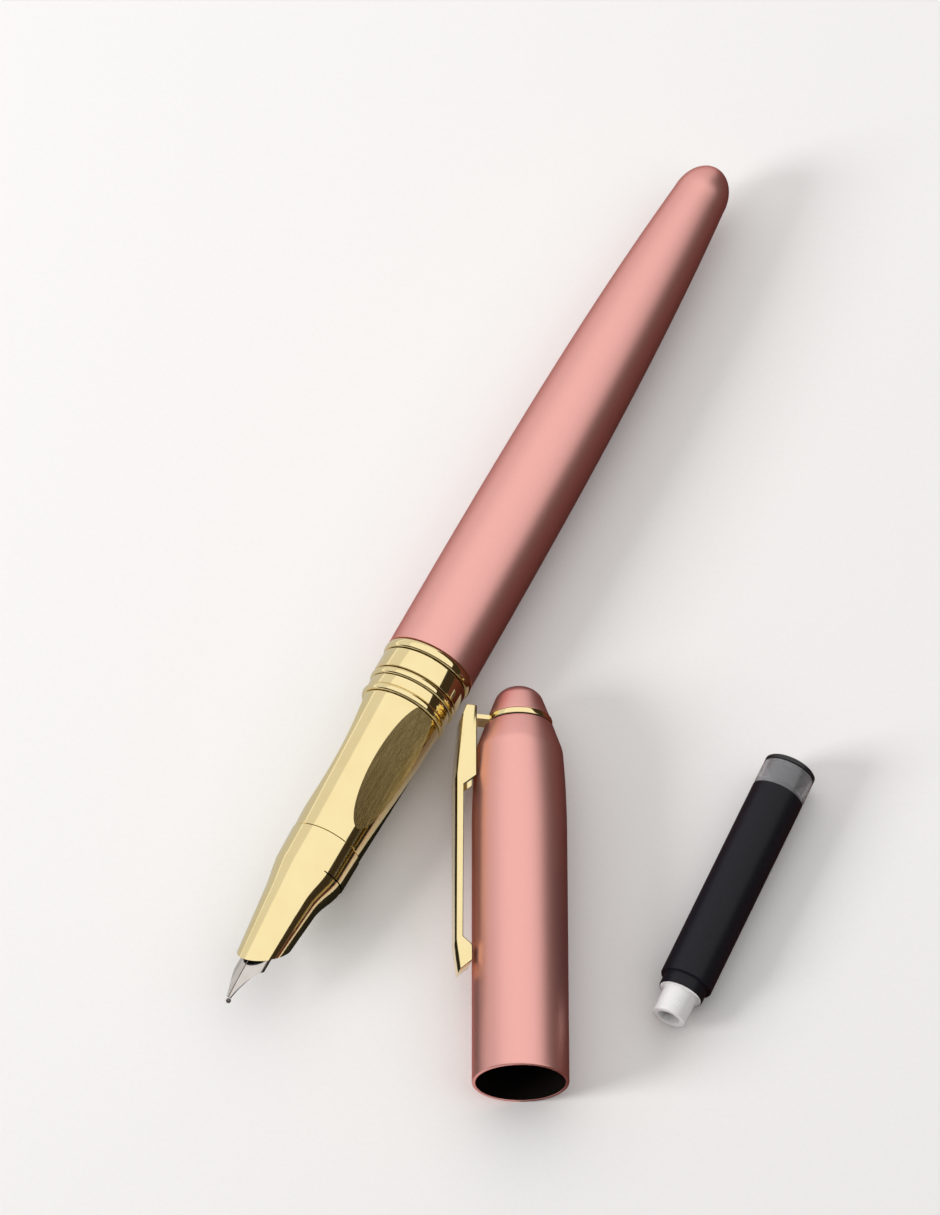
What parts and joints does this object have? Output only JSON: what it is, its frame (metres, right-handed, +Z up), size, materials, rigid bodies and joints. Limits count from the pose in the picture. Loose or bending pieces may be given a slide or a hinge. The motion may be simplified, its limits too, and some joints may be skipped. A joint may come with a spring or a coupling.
{
  "type": "fountain pen",
  "caption": "Slim fountain pen lying uncapped: rose lacquered barrel, gold section with scooped finger flats, hooded nib, cap with gold side clip, spare ink cartridge.",
  "frame": {"origin": "centre of the bounding box's underside, on the surface the pieces lie on", "axes": "+Z up from the surface; +Y along the cap from its lip to its finial; the pen's barrel points to +Y turned 27 degrees towards +X"},
  "size_m": [0.0738, 0.1326, 0.0122],
  "materials": {
    "rose_lacquer": "glossy lacquer on metal",
    "gold_plate": "polished gold plating on brass",
    "brass": "turned",
    "nib_steel": "polished",
    "tipping_alloy": "ground",
    "black_plastic": "moulded",
    "cartridge_plastic": "translucent, dark with ink",
    "ink": "liquid",
    "glass_ball": "polished"
  },
  "bodies": {
    "section": {"grip_section": "gold_plate", "section_collar": "gold_plate", "trim_ring": "gold_plate", "cap_stop_ring": "gold_plate", "hood": "gold_plate", "hood_underside": "gold_plate", "nib": "nib_steel", "nib_tipping": "tipping_alloy", "feed": "black_plastic", "ink_collector": "black_plastic", "connector": "black_plastic", "piercing_tube": "nib_steel"},
    "barrel_sleeve": {"barrel_mouth_ring": "gold_plate", "barrel_thread_bush": "brass"},
    "barrel": {"barrel": "rose_lacquer"},
    "cartridge": {"cartridge_body": "cartridge_plastic", "cartridge_ink": "ink", "cartridge_end_cap": "cartridge_plastic", "cartridge_seal_ball": "glass_ball"},
    "cap": {"cap_tube": "rose_lacquer", "cap_finial": "rose_lacquer", "clip_ring": "gold_plate", "inner_cap": "black_plastic", "finial_screw": "nib_steel"},
    "clip": {"clip": "gold_plate"},
    "spare_cartridge": {"spare_cartridge_body": "cartridge_plastic", "spare_cartridge_ink": "ink", "spare_cartridge_end_cap": "cartridge_plastic", "spare_cartridge_seal_ball": "glass_ball"}
  },
  "joints": [
    {"name": "barrel_draw", "type": "slide", "parent": "section", "child": "barrel_sleeve", "axis": [0.454, 0.891, 0], "range_m": [0, 0.05]},
    {"name": "barrel_unscrew", "type": "hinge", "parent": "barrel_sleeve", "child": "barrel", "pos_m": [-0.01259, -0.00992, 0.0061], "axis": [0.454, 0.891, 0], "range_deg": [0, 2160]},
    {"name": "cartridge_pull", "type": "slide", "parent": "section", "child": "cartridge", "axis": [0.454, 0.891, 0], "range_m": [0, 0.012]},
    {"name": "cap_slide", "type": "slide", "parent": "section", "child": "cap", "axis": [0, -1, 0], "range_m": [0, 0.05]},
    {"name": "clip_flex", "type": "hinge", "parent": "cap", "child": "clip", "pos_m": [-0.00683, -0.01702, 0.00732], "axis": [-0.2079, 0, -0.9781], "range_deg": [0, 5], "stiffness_Nm_per_rad": 0.4},
    {"name": "spare_slide", "type": "slide", "parent": "section", "child": "spare_cartridge", "axis": [0.4226, 0.9063, 0], "range_m": [0, 0.04]}
  ]
}
